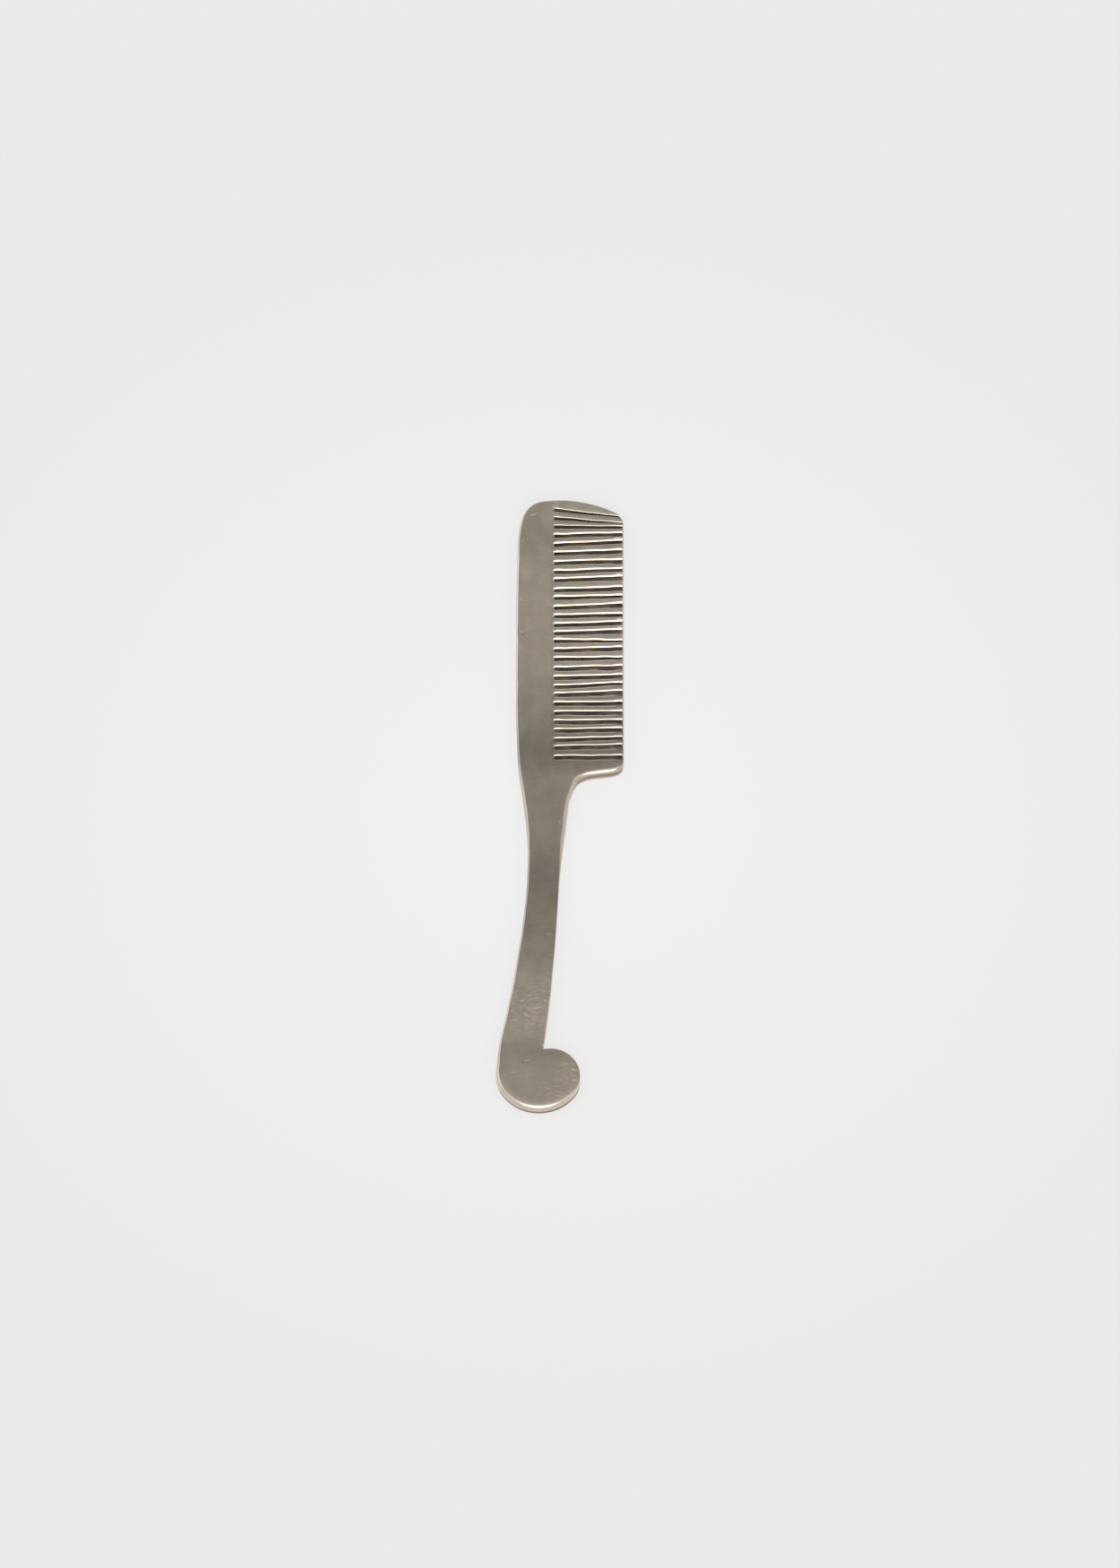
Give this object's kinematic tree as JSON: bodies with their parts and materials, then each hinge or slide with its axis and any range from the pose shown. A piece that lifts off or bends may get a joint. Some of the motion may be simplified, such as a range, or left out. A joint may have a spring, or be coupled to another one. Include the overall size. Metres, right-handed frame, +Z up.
{
  "type": "grooming comb",
  "caption": "Flat metal grooming comb with a straight side row of hand-sawn teeth, a slim waisted handle and a round scroll at the handle's end.",
  "frame": {"origin": "middle of the underside, the face that the comb lies on", "axes": "+Y along the comb from the scroll to the head, +X from the back of the comb to the tooth tips, +Z up out of the top face"},
  "size_m": [0.0308, 0.17, 0.0035],
  "materials": {
    "polished_steel": "polished by hand, warm white metal with fine scratches and soft rounded edges"
  },
  "bodies": {
    "root": {"spine": "polished_steel", "end_guard": "polished_steel", "tooth_01": "polished_steel", "tooth_02": "polished_steel", "tooth_03": "polished_steel", "tooth_04": "polished_steel", "tooth_05": "polished_steel", "tooth_06": "polished_steel", "tooth_07": "polished_steel", "tooth_08": "polished_steel", "tooth_09": "polished_steel", "tooth_10": "polished_steel", "tooth_11": "polished_steel", "tooth_12": "polished_steel", "tooth_13": "polished_steel", "tooth_14": "polished_steel", "tooth_15": "polished_steel", "tooth_16": "polished_steel", "tooth_17": "polished_steel", "tooth_18": "polished_steel", "tooth_19": "polished_steel", "tooth_20": "polished_steel", "tooth_21": "polished_steel", "tooth_22": "polished_steel", "tooth_23": "polished_steel", "tooth_24": "polished_steel", "tooth_25": "polished_steel", "tooth_26": "polished_steel", "tooth_27": "polished_steel", "tooth_28": "polished_steel", "heel": "polished_steel", "handle": "polished_steel", "scroll": "polished_steel"}
  },
  "joints": []
}
